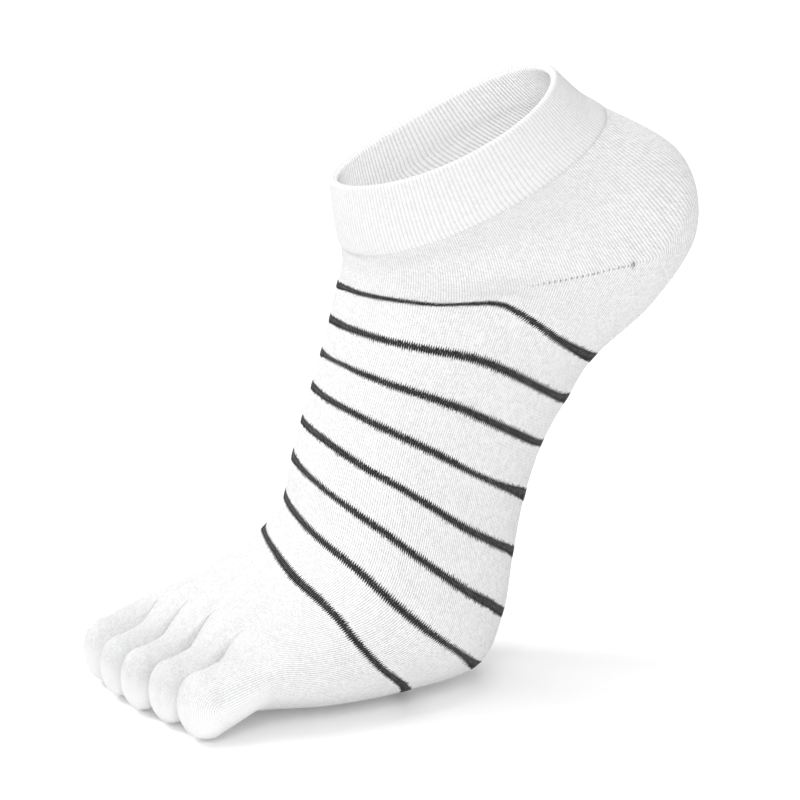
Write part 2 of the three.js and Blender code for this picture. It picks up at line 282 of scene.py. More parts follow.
def lengths(points, axis=0):
    """Lengths of the steps from point to point along an axis."""
    return np.linalg.norm(np.diff(points, axis=axis), axis=-1)


def summed(steps, axis=0):
    """The sum of the steps so far along an axis, starting at 0."""
    room = [(0, 0)] * steps.ndim
    room[axis] = (1, 0)
    return np.pad(np.cumsum(steps, axis), room)


def skin(s, angle, along=0.0, out=0.0):
    """The surface moved along the foot, positive towards the toes, and out of it, both in mm. Also returns the
    direction along the foot and the outward one."""
    step = 0.02
    s, angle = np.broadcast_arrays(np.asarray(s, float), np.asarray(angle, float))
    down = unit(surface(np.minimum(s + step, LAST), angle) - surface(np.maximum(s - step, 0), angle))
    around = unit(surface(s, angle + step) - surface(s, angle - step))
    outward = unit(np.cross(down, around))
    along, out = (np.broadcast_to(v, s.shape)[..., None] for v in (along, out))
    return surface(s, angle) + down * along + outward * out, down, outward


def mesh_object(name, points, quads, fans, uv_quads, uv_fans, inside=None, join=None, plain=None, turned=False):
    """An object from points in mm, quads and triangles, with one UV pair for each corner. inside marks the quads that
    take the piece's second material, join is a second pair for each corner of the quads, and plain says how far the
    knitting is pulled smooth at each point. turned faces have their corners the other way round."""
    if turned:
        quads, fans, uv_quads, uv_fans = quads[:, ::-1], fans[:, ::-1], uv_quads[:, ::-1], uv_fans[:, ::-1]
    mesh = bpy.data.meshes.new(name)
    indices = np.concatenate([quads.ravel(), fans.ravel()])
    starts = np.concatenate([np.arange(len(quads)) * 4, 4 * len(quads) + np.arange(len(fans)) * 3])
    mesh.vertices.add(len(points))
    mesh.vertices.foreach_set("co", (points / 1000).astype(np.float32).ravel())
    mesh.loops.add(len(indices))
    mesh.loops.foreach_set("vertex_index", indices.astype(np.int32))
    mesh.polygons.add(len(starts))
    mesh.polygons.foreach_set("loop_start", starts.astype(np.int32))
    mesh.polygons.foreach_set("use_smooth", np.ones(len(starts), bool))
    mesh.update(calc_edges=True)
    layer = mesh.uv_layers.new(name="knit")
    uv = np.concatenate([uv_quads.reshape(-1, 2), uv_fans.reshape(-1, 2)])
    layer.data.foreach_set("uv", uv.astype(np.float32).ravel())
    if join is not None:
        layer = mesh.uv_layers.new(name="join")
        layer.data.foreach_set("uv", join.astype(np.float32).ravel())
    if inside is not None:
        mesh.polygons.foreach_set("material_index", np.pad(inside, (0, len(fans))).astype(np.int32))
    if plain is not None:
        mesh.attributes.new("plain", "FLOAT", "POINT").data.foreach_set("value", plain.astype(np.float32).ravel())
    mesh.validate()
    piece = bpy.data.objects.new(name, mesh)
    bpy.context.scene.collection.objects.link(piece)
    return piece


def corners(grid, closed):
    """The four corner values of each quad of a tube, from a grid of (rings, columns + 1, 2)."""
    after = np.roll(grid, -1, 0) if closed else grid[1:]
    here = grid if closed else grid[:-1]
    return np.stack([here[:, :-1], after[:, :-1], after[:, 1:], here[:, 1:]], -2).reshape(-1, 4, 2)


def ring_mesh(name, rings, uv, closed=False, first_pole=None, last_pole=None, inside_from=None, join=None, plain=None,
              turned=False):
    """A tube from rings of points (rings, columns, 3), columns closed round. uv is (rings, columns + 1, 2). The rings
    close on themselves, or the end rings close on a pole. From ring inside_from on, its faces are inside ones. It is
    turned where the rings come from inside out."""
    rows, count = rings.shape[:2]
    index = np.arange(rows * count).reshape(rows, count)
    below = np.roll(index, -1, 0) if closed else index[1:]
    here = index if closed else index[:-1]
    quads = np.stack([here, below, np.roll(below, -1, 1), np.roll(here, -1, 1)], -1).reshape(-1, 4)
    uv_quads = corners(uv, closed)
    points = [rings.reshape(-1, 3)]
    fans, uv_fans = [np.zeros((0, 3), int)], [np.zeros((0, 3, 2))]
    extra = rows * count
    for pole, k, flip in ((first_pole, 0, False), (last_pole, rows - 1, True)):
        if pole is None:
            continue
        a, b = index[k], np.roll(index[k], -1)
        ua, ub = uv[k, :-1], uv[k, 1:]
        tip = np.full(count, extra)
        middle = (ua + ub) / 2
        order = (a, tip, b) if flip else (a, b, tip)
        uvs = (ua, middle, ub) if flip else (ua, ub, middle)
        fans.append(np.stack(order, -1))
        uv_fans.append(np.stack(uvs, -2))
        points.append(np.asarray(pole, float).reshape(1, 3))
        extra += 1
    inside = None if inside_from is None else np.repeat(np.arange(len(here)) >= inside_from, count)
    if plain is not None:
        plain = np.pad(plain.ravel(), (0, len(points) - 1), constant_values=0.5)
    return mesh_object(name, np.concatenate(points), quads, np.concatenate(fans), uv_quads, np.concatenate(uv_fans),
                       inside, None if join is None else corners(join, closed), plain, turned)


def finish_piece(piece, materials, slot, *nodes):
    """Gives a piece its materials, lets it ride on the sock's one body and stands it for its frame nodes."""
    for name in materials:
        piece.data.materials.append(bpy.data.materials[name])
    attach(piece, "root")
    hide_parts(*nodes)


def linear(hex_colour):
    """sRGB hex as linear RGBA."""
    v = np.array([int(hex_colour[i:i + 2], 16) for i in (1, 3, 5)]) / 255
    return (*np.where(v <= 0.04045, v / 12.92, ((v + 0.055) / 1.055) ** 2.4), 1.0)


def node(tree, kind, *inputs, named=None, **settings):
    """Adds a shader node, sets its properties, and fills its inputs in order and by name: a socket is linked, a value
    is set. Returns the node's outputs."""
    made = tree.nodes.new("ShaderNode" + kind)
    for key, value in settings.items():
        setattr(made, key, value)
    for key, value in [*enumerate(inputs), *(named or {}).items()]:
        if isinstance(value, bpy.types.NodeSocket):
            tree.links.new(value, made.inputs[key])
        else:
            made.inputs[key].default_value = value
    return made.outputs


def knit_height(tree, centre_groove, loops, calm=None):
    """Height of plain knitting from 0 to 1 on the UV map, where u counts wales and v counts courses. A wale is round
    across itself, and a share of the height is two slanting legs, a V, with a notch where one loop enters the next.
    calm is 1 where the loops don't show. Also returns a number between -0.5 and 0.5 that differs from stitch to
    stitch."""
    uv = node(tree, "UVMap", uv_map="knit")[0]
    u, v = node(tree, "SeparateXYZ", uv)[:2]
    # share: 0 in the wale's middle, 1 at its edges.
    place = node(tree, "Math", u, operation="FRACT")[0]
    off = node(tree, "Math", place, 0.5, operation="SUBTRACT")[0]
    off = node(tree, "Math", off, operation="ABSOLUTE")[0]
    share = node(tree, "Math", off, 2.0, operation="MULTIPLY")[0]
    # The wale: 1 less the square of share, mixed with two legs, each round about a share of one half.
    off_leg = node(tree, "Math", share, 2.0, -1.0, operation="MULTIPLY_ADD")[0]
    leg = node(tree, "Math", off_leg, off_leg, operation="MULTIPLY")[0]
    crown = node(tree, "Math", share, share, operation="MULTIPLY")[0]
    wale = node(tree, "Math", leg, -centre_groove, 1.0, operation="MULTIPLY_ADD")[0]
    wale = node(tree, "Math", crown, centre_groove - 1.0, wale, operation="MULTIPLY_ADD")[0]
    # The loops: a wave along the courses that lags towards the wale's edges.
    slant = node(tree, "Math", share, LEG_SLANT, v, operation="MULTIPLY_ADD")[0]
    wave = node(tree, "Math", slant, 2 * np.pi, operation="MULTIPLY")[0]
    wave = node(tree, "Math", wave, operation="COSINE")[0]
    wale_number = node(tree, "Math", u, operation="FLOOR")[0]
    course_number = node(tree, "Math", slant, operation="FLOOR")[0]
    cell = node(tree, "CombineXYZ", wale_number, course_number)[0]
    stitch = node(tree, "TexWhiteNoise", named={"Vector": cell})[0]
    stitch = node(tree, "Math", stitch, 0.5, operation="SUBTRACT")[0]
    if calm is not None:
        shown = node(tree, "Math", calm, -CALMING, 1.0, operation="MULTIPLY_ADD", use_clamp=True)[0]
        wave = node(tree, "Math", wave, shown, operation="MULTIPLY")[0]
        stitch = node(tree, "Math", stitch, shown, operation="MULTIPLY")[0]
    loop = node(tree, "Math", wave, loops, 1.0 - loops, operation="MULTIPLY_ADD")[0]
    return node(tree, "Math", wale, loop, operation="MULTIPLY")[0], stitch


def join_holes(tree):
    """Darkness of the small holes along the heel's join: evenly spaced dots where x is 0, from y 0 on until they fade
    out, and one larger star at y 0. Across the join both are bells."""
    uv = node(tree, "UVMap", uv_map="join")[0]
    x, y = node(tree, "SeparateXYZ", uv)[:2]
    across = node(tree, "Math", x, x, operation="MULTIPLY")[0]
    line = node(tree, "Math", across, -1 / HOLE_REACH ** 2, operation="MULTIPLY")[0]
    line = node(tree, "Math", line, operation="EXPONENT")[0]
    beat = node(tree, "Math", y, 2 * np.pi / HOLE_GAP, operation="MULTIPLY")[0]
    beat = node(tree, "Math", beat, operation="COSINE")[0]
    beat = node(tree, "Math", beat, HOLE_DEPTH / 2, HOLE_DEPTH / 2, operation="MULTIPLY_ADD")[0]
    dots = node(tree, "Math", line, beat, operation="MULTIPLY")[0]
    for low, high in HOLE_FADES:
        ends = node(tree, "MapRange", named={"Value": y, "From Min": low, "From Max": high})[0]
        dots = node(tree, "Math", dots, ends, operation="MULTIPLY")[0]
    away = node(tree, "Math", y, y, operation="MULTIPLY")[0]
    away = node(tree, "Math", across, STAR_WIDENING, away, operation="MULTIPLY_ADD")[0]
    star = node(tree, "Math", away, -1.0, operation="MULTIPLY")[0]
    star = node(tree, "Math", star, operation="EXPONENT")[0]
    star = node(tree, "Math", star, STAR_DEPTH, operation="MULTIPLY")[0]
    return node(tree, "Math", dots, star, operation="MAXIMUM")[0]


def yarn_material(name, light, dark, depth, centre_groove=0.25, loops=0.2, fleck=None, join=False, plain=False,
                  glow=0.0, roughness=0.95):
    """Matt yarn: colour from the groove between loops to their crowns, the darker groove of the white yarns being
    painted shade, a soft unevenness of the yarn, a bump for the loops, depth mm high, and a finer one for the fibres.
    fleck is a light colour that shows through between dark loops, join adds the heel's holes, plain reads where the
    cloth is pulled
    smooth, and glow is painted light: an emission, standing in for the light that comes through the thin cloth from
    outside."""
    material = bpy.data.materials.new(name)
    material.use_nodes = True
    tree = material.node_tree
    shader = tree.nodes["Principled BSDF"]
    calm = node(tree, "Attribute", attribute_name="plain")["Fac"] if plain else None
    height, stitch = knit_height(tree, centre_groove, loops, calm)
    if plain:
        # Pulled smooth, the cloth has grooves of a third of their depth round its mean height.
        even = node(tree, "Math", MEAN_HEIGHT, height, operation="SUBTRACT")[0]
        even = node(tree, "Math", even, SMOOTHED, operation="MULTIPLY")[0]
        height = node(tree, "Math", even, calm, height, operation="MULTIPLY_ADD")[0]
    if join:
        height = node(tree, "Math", height, join_holes(tree), operation="SUBTRACT")[0]
    place = node(tree, "TexCoord")["Object"]
    cloud, lint = (node(tree, "TexNoise", named={"Vector": place, "Scale": 1 / size, "Detail": 2.0})[0]
                   for size in (CLOUD_SIZE, LINT_SIZE))
    # Tone and relief: the height with shares of the clouds, the lint and the stitches on top.
    tone, relief = height, height
    for pattern, in_tone, in_relief in ((cloud, CLOUD_TONE, 0), (lint, LINT_TONE, LINT_RELIEF),
                                        (stitch, STITCH_TONE, STITCH_RELIEF)):
        tone = node(tree, "Math", pattern, in_tone, tone, operation="MULTIPLY_ADD")[0]
        relief = node(tree, "Math", pattern, in_relief, relief, operation="MULTIPLY_ADD")[0]
    # Bands of colour over the tone: the first lies between the loops, painted shade on the white yarns and the backing
    # yarn's fleck on the black one, and below it are the join's holes.
    tone = node(tree, "Math", tone, BAND_START - (CLOUD_TONE + LINT_TONE) / 2, operation="ADD")[0]
    bands = [(0.27, fleck), (0.45, light), (1.0, dark)] if fleck else [(BAND_START, dark), (1.0, light)]
    bands = [(0.0, HOLE_COLOUR), *bands] if join else bands
    ramp = node(tree, "ValToRGB", tone)[0]
    elements = ramp.node.color_ramp.elements
    for k, (at, colour) in enumerate(bands):
        band = elements[k] if k < 2 else elements.new(at)
        band.position, band.color = at, linear(colour)
    bump = node(tree, "Bump", named={"Strength": 1.0, "Distance": depth / 1000, "Height": relief})[0]
    tree.links.new(ramp, shader.inputs["Base Color"])
    tree.links.new(bump, shader.inputs["Normal"])
    for key, value in (("Roughness", roughness), ("Specular IOR Level", 0.25), ("Sheen Weight", 0.1),
                       ("Sheen Roughness", 0.6), ("Emission Color", linear(light)), ("Emission Strength", glow)):
        shader.inputs[key].default_value = value


def uneven(s, angle):
    """Slow unevenness of worn cloth, in mm: three sine waves round and along the foot."""
    return (0.06 * np.sin(3 * angle + 1.7 * s) + 0.04 * np.sin(5 * angle - 2.3 * s + 1.0)
            + 0.03 * np.sin(2 * angle + 3.9 * s + 2.0))


class SockSizes(bpy.types.PropertyGroup):
    """Sizes of the knitting."""
    wale: bpy.props.FloatProperty(name="Wale", description="Width of one column of loops on the instep",
                                  default=0.00072, min=0.0005, max=0.003, unit="LENGTH", precision=5)
    course: bpy.props.FloatProperty(name="Course", description="Height of one row of loops",
                                    default=0.00068, min=0.0005, max=0.003, unit="LENGTH", precision=5)
    wales: bpy.props.IntProperty(name="Wales round", description="Columns of loops round the tube",
                                 default=312, min=120, max=400)
    ribs: bpy.props.IntProperty(name="Ribs round", description="Ribs round the welt", default=184, min=60, max=240)
    rib_depth: bpy.props.FloatProperty(name="Rib depth", description="Height of a rib on the welt's inside",
                                       default=0.00024, min=0.0, max=0.001, unit="LENGTH", precision=5)
    zigzag: bpy.props.FloatProperty(name="Zigzag", description="How far the stripes' loops reach up and down",
                                    default=0.0006, min=0.0, max=0.002, unit="LENGTH", precision=5)


class SockColours(bpy.types.PropertyGroup):
    """Colours of the yarns, as sRGB hex."""
    cotton: bpy.props.StringProperty(name="Cotton", description="Crown of the white loops", default="#f1f1f1")
    # The groove colour is painted shade between the white loops.
    cotton_groove_shade: bpy.props.StringProperty(name="Groove", description="Between the white loops", default="#c4c4c5")
    stripe: bpy.props.StringProperty(name="Stripe", description="Black face yarn", default="#262627")
    floor: bpy.props.StringProperty(name="Floor", description="Pale studio floor", default="#f6f6f6")


def heel_map(wales):
    """Wales (u) over the true sections of HEEL_ROWS, and how far each place lies from the heel's join.

    The side of the foot is laid flat: w is the length round a section from the underside, a the rest of the way to
    the top. lower and upper are the distances from the line down the middle of the underside and of the back of the
    leg, on that flat side. The heel is turned without adding wales, so a wale keeps its distance from whichever line
    is nearer, and the wales of the leg and of the sole meet in a slanting join: u is wales / 2 times a / (a + d)."""
    rows, turn = HEEL_ROWS, np.radians(np.arange(0, 181, HEEL_DEGREES))
    points = section(rows[:, None], turn[None])
    a = summed(lengths(points, 1), 1)
    w = a[:, -1:] - a
    low = points[:, -1, 1:]
    across = unit(points[:, 0, 1:] - low)
    flat = low[:, None] + w[..., None] * across[:, None]
    line_rows = np.linspace(0, HEEL_LINE_END, 300)
    line = section(line_rows, np.full(len(line_rows), np.pi))[:, 1:]
    away = np.linalg.norm(flat[:, :, None] - line[None, None], axis=-1)
    back = line_rows < HEEL_BACK
    upper, lower = away[..., back].min(-1), away[..., ~back].min(-1)
    upper = (upper - HEEL_EASE * smooth(upper / HEEL_DOT)) / HEEL_STRETCH
    d = np.minimum(upper, lower)
    # Towards the ball the section's own length takes over.
    d = d + (w - d) * smooth((rows[:, None] - 5.5) / 2)
    return wales / 2 * a / (a + d), upper - lower, flat


def length_along(s, degrees):
    """Length in mm along the foot from the first stripe to courses s, as the mean over some angles round it."""
    rows = np.linspace(0, LAST, 301)
    path = surface(rows[:, None], np.radians(degrees)[None])
    run = summed(lengths(path).mean(1))
    return np.interp(s, rows, run) - np.interp(STRIPE_ROWS[0], rows, run)


def front_length(s):
    """Length in mm along the top of the foot from the first stripe to courses s."""
    return length_along(s, FRONT_DEGREES)


def even_wales(s, angle, wales):
    """Wales from the top of the foot, less than 0 on the little toe's side, where each half of a course has half of
    the wales at even lengths."""
    sides = np.linspace(0, np.pi, 181)
    rows = s[:, 0]
    turn = np.degrees(np.arctan2(np.sin(angle), np.cos(angle)))
    place = np.broadcast_to(np.arange(len(rows))[:, None], s.shape)
    counts = []
    for side in (1, -1):
        a = summed(lengths(surface(rows[:, None], side * sides[None]), 1), 1)
        counts.append(side * wales / 2 * lookup(a / a[:, -1:], place, np.abs(turn)))
    return np.where(turn >= 0, *counts)


def knit_counts(s, angle, sizes):
    """Where each place lies in the knitting: u wales round the tube and v courses along it, and two lengths in mm for
    the heel's join: across it and along it from its star. v is the length along the top of the foot, and turns into
    the length along the back of the leg behind the ankle."""
    true, turn = true_section(s, angle)
    u_map, join, flat = heel_map(sizes.wales)
    i, j = (true - HEEL_ROWS[0]) / (HEEL_ROWS[1] - HEEL_ROWS[0]), np.abs(turn) / HEEL_DEGREES
    u = lookup(u_map, i, j)
    u = u + (np.abs(even_wales(s, angle, sizes.wales)) - u) * smooth((true - 7.5) / 1.5)
    front, back = front_length(s), length_along(s, BACK_DEGREES)
    v = front + (back - front) * smooth(np.abs(turn) / 180) * (1 - smooth((s - 5.5) / 3))
    place = np.stack([lookup(flat[..., k], i, j) for k in (0, 1)], -1) - HEEL_STAR
    # Past row 9 nothing lies near the join.
    gore = np.stack([np.where(true < 9, lookup(join, i, j), 50), place @ unit(HEEL_FRONT - HEEL_STAR)], -1)
    u = np.where(np.sin(angle) < -1e-9, sizes.wales - u, u)
    u[:, -1] = sizes.wales
    return np.stack([u, v / (sizes.course * 1000)], -1), gore


def towards_front(angle, back):
    """1 over the foot and its sides, falling by a smooth step to the value back at the back of the leg."""
    return back + (1 - back) * smooth((1 + np.cos(angle)) / 1.4)


def build_jersey(sizes):
    """The jersey tube. Its outside is the section surface with the worn cloth's slow unevenness and a shallow dip
    under each stripe, a bell 1.6 mm wide, and it slips under the welt, less so at the back. Its inside is the same
    surface, a wall's thickness in."""
    angle = np.linspace(0, 2 * np.pi, 257)
    first_stripe = STRIPE_ROWS[0]
    fine = np.concatenate([np.linspace(TUBE_START, first_stripe, 100)[:-1], np.linspace(first_stripe, LAST, 190),
                           [LAST]])
    fine[-2] = LAST - 0.01
    inner = np.linspace(LAST, TUBE_START, 60)
    s, a = np.meshgrid(fine, angle, indexing="ij")
    under_welt = (-0.9 * towards_front(a, 0.25) * (1 - smooth((s - 2) / 0.9))
                  - 0.5 * (1 - smooth((s - TUBE_START) / 0.07)))
    row_mm = np.linalg.norm(surface(s + 0.01, a) - surface(s - 0.01, a), axis=-1) / 0.02
    near = np.abs(s[..., None] - np.array(STRIPE_ROWS)).min(-1) * row_mm
    dip = -0.12 * np.exp(-((near / 1.6) ** 2))
    quiet = smooth((s - 2.4) / 1.0) * smooth((LAST - s) / 1.0)
    outside, _, _ = skin(s, a, 0, under_welt + dip + uneven(s, a) * quiet)
    s2, a2 = np.meshgrid(inner, angle, indexing="ij")
    inside, _, _ = skin(s2, a2, 0, -JERSEY)
    uv, join = (np.concatenate(pair) for pair in zip(knit_counts(s, a, sizes), knit_counts(s2, a2, sizes)))
    rings = np.concatenate([outside, inside])[:, :-1]
    return ring_mesh("jersey_tube", rings, uv, closed=True, inside_from=len(fine), join=join)


def build_welt(sizes):
    """The rib welt: up the outside from the jersey, over a round edge at the rim and down the inside. Ribs stand on
    both faces as a cosine round the welt, deeper inside, and fade out over the rolled edge."""
    angle = np.linspace(0, 2 * np.pi, sizes.ribs * 6 + 1)
    radius = WELT / 2
    roll = np.radians(np.linspace(0, 180, 13))
    hidden, outer, inner = np.linspace(3.0, 2.0, 6), np.linspace(1.99, 0.12, 24), np.linspace(0.12, 3.1, 30)
    thinned = smooth((inner - 2.3) / 0.6)
    # Runs of rings: courses, mm out of the surface, mm along the foot, and height of the ribs (less than 0 inside).
    # The inner layer reaches below the outer one and thins down to the jersey, so that no step shows inside.
    runs = (
        (hidden, -1.45, 0, 0),
        (np.array([2.0]), -0.75, 0.1, 0.2),
        (outer, 0, 0, 0.3),
        (0 * roll, -radius + radius * np.cos(roll), radius * (1 - np.sin(roll)),
         np.where(np.arange(len(roll)) < 7, 0.3, -1) * np.cos(roll) ** 2),
        (inner, -WELT + (WELT - JERSEY - 0.15) * thinned, 0, thinned - 1),
    )
    s, out, along, rib = (np.concatenate([run[k] + 0 * run[0] for run in runs])[:, None] for k in range(4))
    # The outer edge at the foot of the welt is rounded over its last 2 mm.
    first_outer = len(hidden) + 1
    round_off = np.zeros(s.shape)
    round_off[first_outer:first_outer + 3, 0] = [-0.42, -0.16, -0.04]
    courses, a = np.meshgrid(s[:, 0], angle, indexing="ij")
    wave = 0.5 + 0.5 * np.cos(angle * sizes.ribs)
    raised = out + rib * (wave[None] - 0.5) * sizes.rib_depth * 1000 * 2 + round_off * towards_front(a, 0.2)
    points, _, _ = skin(courses, a, along * np.ones_like(a), raised)
    run = summed(lengths(points).mean(1))
    u = np.broadcast_to(angle / (2 * np.pi) * sizes.ribs, a.shape)
    v = np.broadcast_to((run / (sizes.course * 1000))[:, None], a.shape)
    return ring_mesh("rib_welt", points[:, :-1], np.stack([u, v], -1), closed=True,
                     inside_from=first_outer + len(outer) + 8, turned=True)


def build_stripe(name, row, sizes):
    """A ring of black loops along one course: a band whose two edges zigzag together once a wale, because each loop
    is a V, with an uneven reach from loop to loop. Its top stands just proud of the jersey. The row also seeds the
    unevenness."""
    per_wale = 4
    count = sizes.wales * per_wale
    angle = np.linspace(0, 2 * np.pi, 1025)
    uv, _ = knit_counts(*np.meshgrid([row, row + 0.01], angle, indexing="ij"), sizes)
    angle = np.interp(np.linspace(0, sizes.wales, count + 1), uv[0, :, 0], angle)
    span = np.linalg.norm(surface(np.full_like(angle, row + 0.02), angle)
                          - surface(np.full_like(angle, row - 0.02), angle), axis=-1) / 0.04
    width = np.clip(STRIPE_SHARE * span, *STRIPE_WIDTHS)
    phase = np.arange(count + 1) / per_wale % 1
    zig = np.abs(phase - 0.5) * 4 - 1
    random = np.random.default_rng(row)
    reach = sizes.zigzag * 1000 * (1 + 0.35 * random.standard_normal((2, count)))
    reach = np.concatenate([reach, reach[:, :1]], 1) * (width / 2.0)
    upper = -width / 2 - zig * reach[0]
    lower = width / 2 - zig * reach[1]
    across, high = np.array(STRIPE_PROFILE).T[:, :, None]
    along = upper[None] * (1 - across) + lower[None] * across
    s, a = np.meshgrid(np.full(len(across), float(row)), angle, indexing="ij")
    points, _, _ = skin(s, a, along, np.broadcast_to(high, a.shape))
    u = np.broadcast_to(np.arange(count + 1) / per_wale, a.shape)
    v = along / (sizes.course * 1000)
    return ring_mesh(name, points[:, :-1], np.stack([u, v], -1), closed=True)


def toe_base(inner, outer, top, wall):
    """Where a toe leaves the tube: the tube's own edge over and under the toe, closed by a flat wall at each web.
    Round from the outer side under the toe and back over it, it returns the points, the angle of the round section
    that each turns into (0 is the inner side, 90 degrees up), the direction along the foot, the weight of that
    direction (0 on the walls) and the angle on the tube (the web's own on a wall)."""
    inner_web, outer_web = inner < 1, outer > -1
    start, end = (WEB_TURN if inner_web else 0), (180 - WEB_TURN if outer_web else 180)
    t = np.linspace(0, 1, top)
    w = np.linspace(0, 1, 2 * wall + 1)
    over = angle_of(inner) + (angle_of(outer) - angle_of(inner)) * t
    under = np.pi - over[::-1]
    edge = np.full(top, float(LAST))
    up, up_down, _ = skin(edge, over)
    low, low_down, _ = skin(edge, under)
    outer_wall = up[-1] + (low[0] - up[-1]) * w[:, None]
    inner_wall = low[-1] + (up[0] - low[-1]) * w[:, None]
    wall_turn = 2 * WEB_TURN * w
    # Half walls first and last, so that the ring starts in the middle of the outer wall.
    parts = [(low[:-1], 360 - end + (end - start) * t[:-1], low_down[:-1], 1, under[:-1]),
             (up[:-1], start + (end - start) * t[:-1], up_down[:-1], 1, over[:-1])]
    if inner_web:
        parts.insert(1, (inner_wall[:-1], 360 - WEB_TURN + wall_turn[:-1], up_down[:1].repeat(2 * wall, 0), 0,
                         over[0]))
    if outer_web:
        down = up_down[-1:].repeat(wall, 0)
        parts = [(outer_wall[wall:-1], 180 + wall_turn[:wall], down, 0, under[0]), *parts,
                 (outer_wall[:wall], 180 - WEB_TURN + wall_turn[:wall], down, 0, over[-1])]
    points, degrees, down, weight, tube_angle = (
        np.concatenate([np.broadcast_to(part[k], (len(part[0]),) + np.shape(part[k])[1:]) for part in parts])
        for k in range(5))
    return points, np.radians(degrees) % (2 * np.pi), down, weight, tube_angle


def toe_wales(turns, base, tube_angle, on_tube, sizes):
    """Wales round a toe: over the top they are the tube's own and go on down the walls at the same spacing. Returns a
    function from the section's angle to the top's wales, and the count of each column where the tube ends. There the
    underside has the tube's own wales too, counted backwards, because a wale looks the same both ways."""
    tube = even_wales(np.full((2, len(turns)), float(LAST)), tube_angle[None] + np.zeros((2, 1)), sizes.wales)[0]
    top = turns <= np.pi + 1e-9
    order = np.argsort(turns[top])
    turn, count, cut = turns[top][order], tube[top][order], on_tube[top][order] > 0
    run = summed(lengths(base[top][order])) / (sizes.wale * 1000)
    first, last = np.flatnonzero(cut)[[0, -1]]
    place = np.arange(len(cut))
    count = np.where(place < first, count[first] + run[first] - run, count)
    count = np.where(place > last, count[last] + run[last] - run, count)
    count[0], count[-1] = np.round(count[0] * 2) / 2, np.round(count[-1] * 2) / 2

    def over(a):
        return np.interp(a, turn, count)

    below = ~top & (on_tube > 0)
    whole = np.round(np.mean(over(2 * np.pi - turns[below]) + tube[below]))
    own = np.interp(turns, [np.pi, *turns[below], 2 * np.pi], [over(np.pi), *(whole - tube[below]), count[0]])
    return over, np.where(top, over(turns), own)


def build_toe(name, sizes):
    """A toe pocket: from the tube's edge at the web to a round tip. Between them each ring is the base carried
    towards the tip, turned into an ellipse by a smooth step, and the tip is a dome of power 2.3. It starts along
    the tube's own direction. Its wales run on from the tube and over the tip, where they keep their distance from
    the middle. The underside turns into the top's mirror image on the way."""
    inner, outer, tip_x, tip_y, half, rise = TOES[name]
    half, rise = half * WIDTH, rise * WIDTH
    base, turns, down, weight, tube_angle = toe_base(inner, outer, 31, 6)
    middle = base.mean(0)
    tip = np.array([tip_x * WIDTH, tip_y * LENGTH, -HEIGHT + rise])
    length = np.linalg.norm(tip - middle)
    cosines, sines = np.cos(turns), np.sin(turns)
    over, own = toe_wales(turns, base, tube_angle, weight, sizes)
    folded = np.minimum(turns, 2 * np.pi - turns)

    # The pocket's length: t runs from the web to the tip's widest ring.
    steps = np.concatenate([[0.0, 0.004], np.linspace(0.02, 1, 44)])
    t = steps[:, None, None]
    centre = middle + (tip - middle) * t
    blend = smooth(t / BLEND_END)
    circle = np.stack([half * cosines, 0 * cosines, rise * sines], -1) + centre
    tube = (base - middle + centre) * (1 - blend) + circle * blend
    early = t * (1 - np.minimum(t / 0.6, 1)) ** 2
    tube = tube + (down * length - (tip - middle)) * early * weight[:, None]
    tube[..., 2] += TOE_ARCH * np.sin(np.pi * steps)[:, None] * np.maximum(-sines, 0)
    tube_u = own + (over(folded) - own) * smooth(steps / 0.5)[:, None]
    tube_v = np.broadcast_to(steps[:, None] * length, tube_u.shape)

    # The dome: lean runs from just past that ring to just before the pole.
    lean = np.radians(np.linspace(3, 87, 24))
    small = np.cos(lean[:, None]) ** (2 / TOE_POWER)
    forward = half * np.sin(lean[:, None]) ** (2 / TOE_POWER)
    dome_centre = tip - np.stack([0 * forward, forward, 0 * forward], -1)
    dome = np.stack([half * small * cosines, 0 * small * cosines, rise * small * sines], -1) + dome_centre
    dome_u = over(np.arccos(np.clip(small * cosines, -1, 1)))
    dome_v = length + np.arctan2(forward, np.abs(small * rise * sines) + 1e-6) * (half + rise) / 2

    outside, centres = np.concatenate([tube, dome]), np.concatenate([centre, dome_centre])
    spoke = outside - centres
    reach = np.linalg.norm(spoke, axis=-1, keepdims=True)
    inside = centres + spoke * np.maximum(1 - JERSEY / reach, 0.3)
    inside[len(steps):, :, 1] += JERSEY * np.sin(lean)[:, None]
    # The first ring is tucked under the tube's edge, so that no gap shows.
    tuck = outside[0] + (middle - outside[0]) * 0.05 - down * TOE_TUCK
    outside = np.concatenate([tuck[None], outside])
    u = np.concatenate([tube_u, dome_u])
    v = (np.concatenate([tube_v, dome_v]) + front_length(float(LAST))) / (sizes.course * 1000)
    uv = np.stack([u, v], -1)
    uv = np.concatenate([uv, uv[:, :1]], 1)
    uv = np.concatenate([uv[:1] - [0, 1.4], uv])
    begun = smooth(np.concatenate([[0], steps, np.ones(len(lean))]) / 0.5)[:, None]
    up = np.concatenate([np.ones(len(steps) + 1), np.cos(lean) ** (2 / TOE_POWER)])[:, None] * sines
    plain = begun * smooth((0.45 - up) / 1.0)
    # One surface from the inner pole, down the inside, round the edge and up the outside to the outer pole.
    return ring_mesh(name.replace("toe_", "pocket_"), np.concatenate([inside[::-1], outside]),
                     np.concatenate([uv[1:][::-1], uv]), first_pole=tip - [0, half - JERSEY, 0],
                     last_pole=tip - [0, half, 0], plain=np.concatenate([plain[1:][::-1], plain]), turned=True)


def light(name, at, size, watts):
    """A square soft light at a place in metres, turned to the middle of the foot."""
    lamp = bpy.data.lights.new(name, "AREA")
    lamp.shape, lamp.size, lamp.energy = "SQUARE", size, watts
    lit = bpy.data.objects.new(name, lamp)
    bpy.context.scene.collection.objects.link(lit)
    lit.location = at
    lit.rotation_euler = (Vector(LIT_PLACE) - Vector(at)).to_track_quat("-Z", "Y").to_euler()


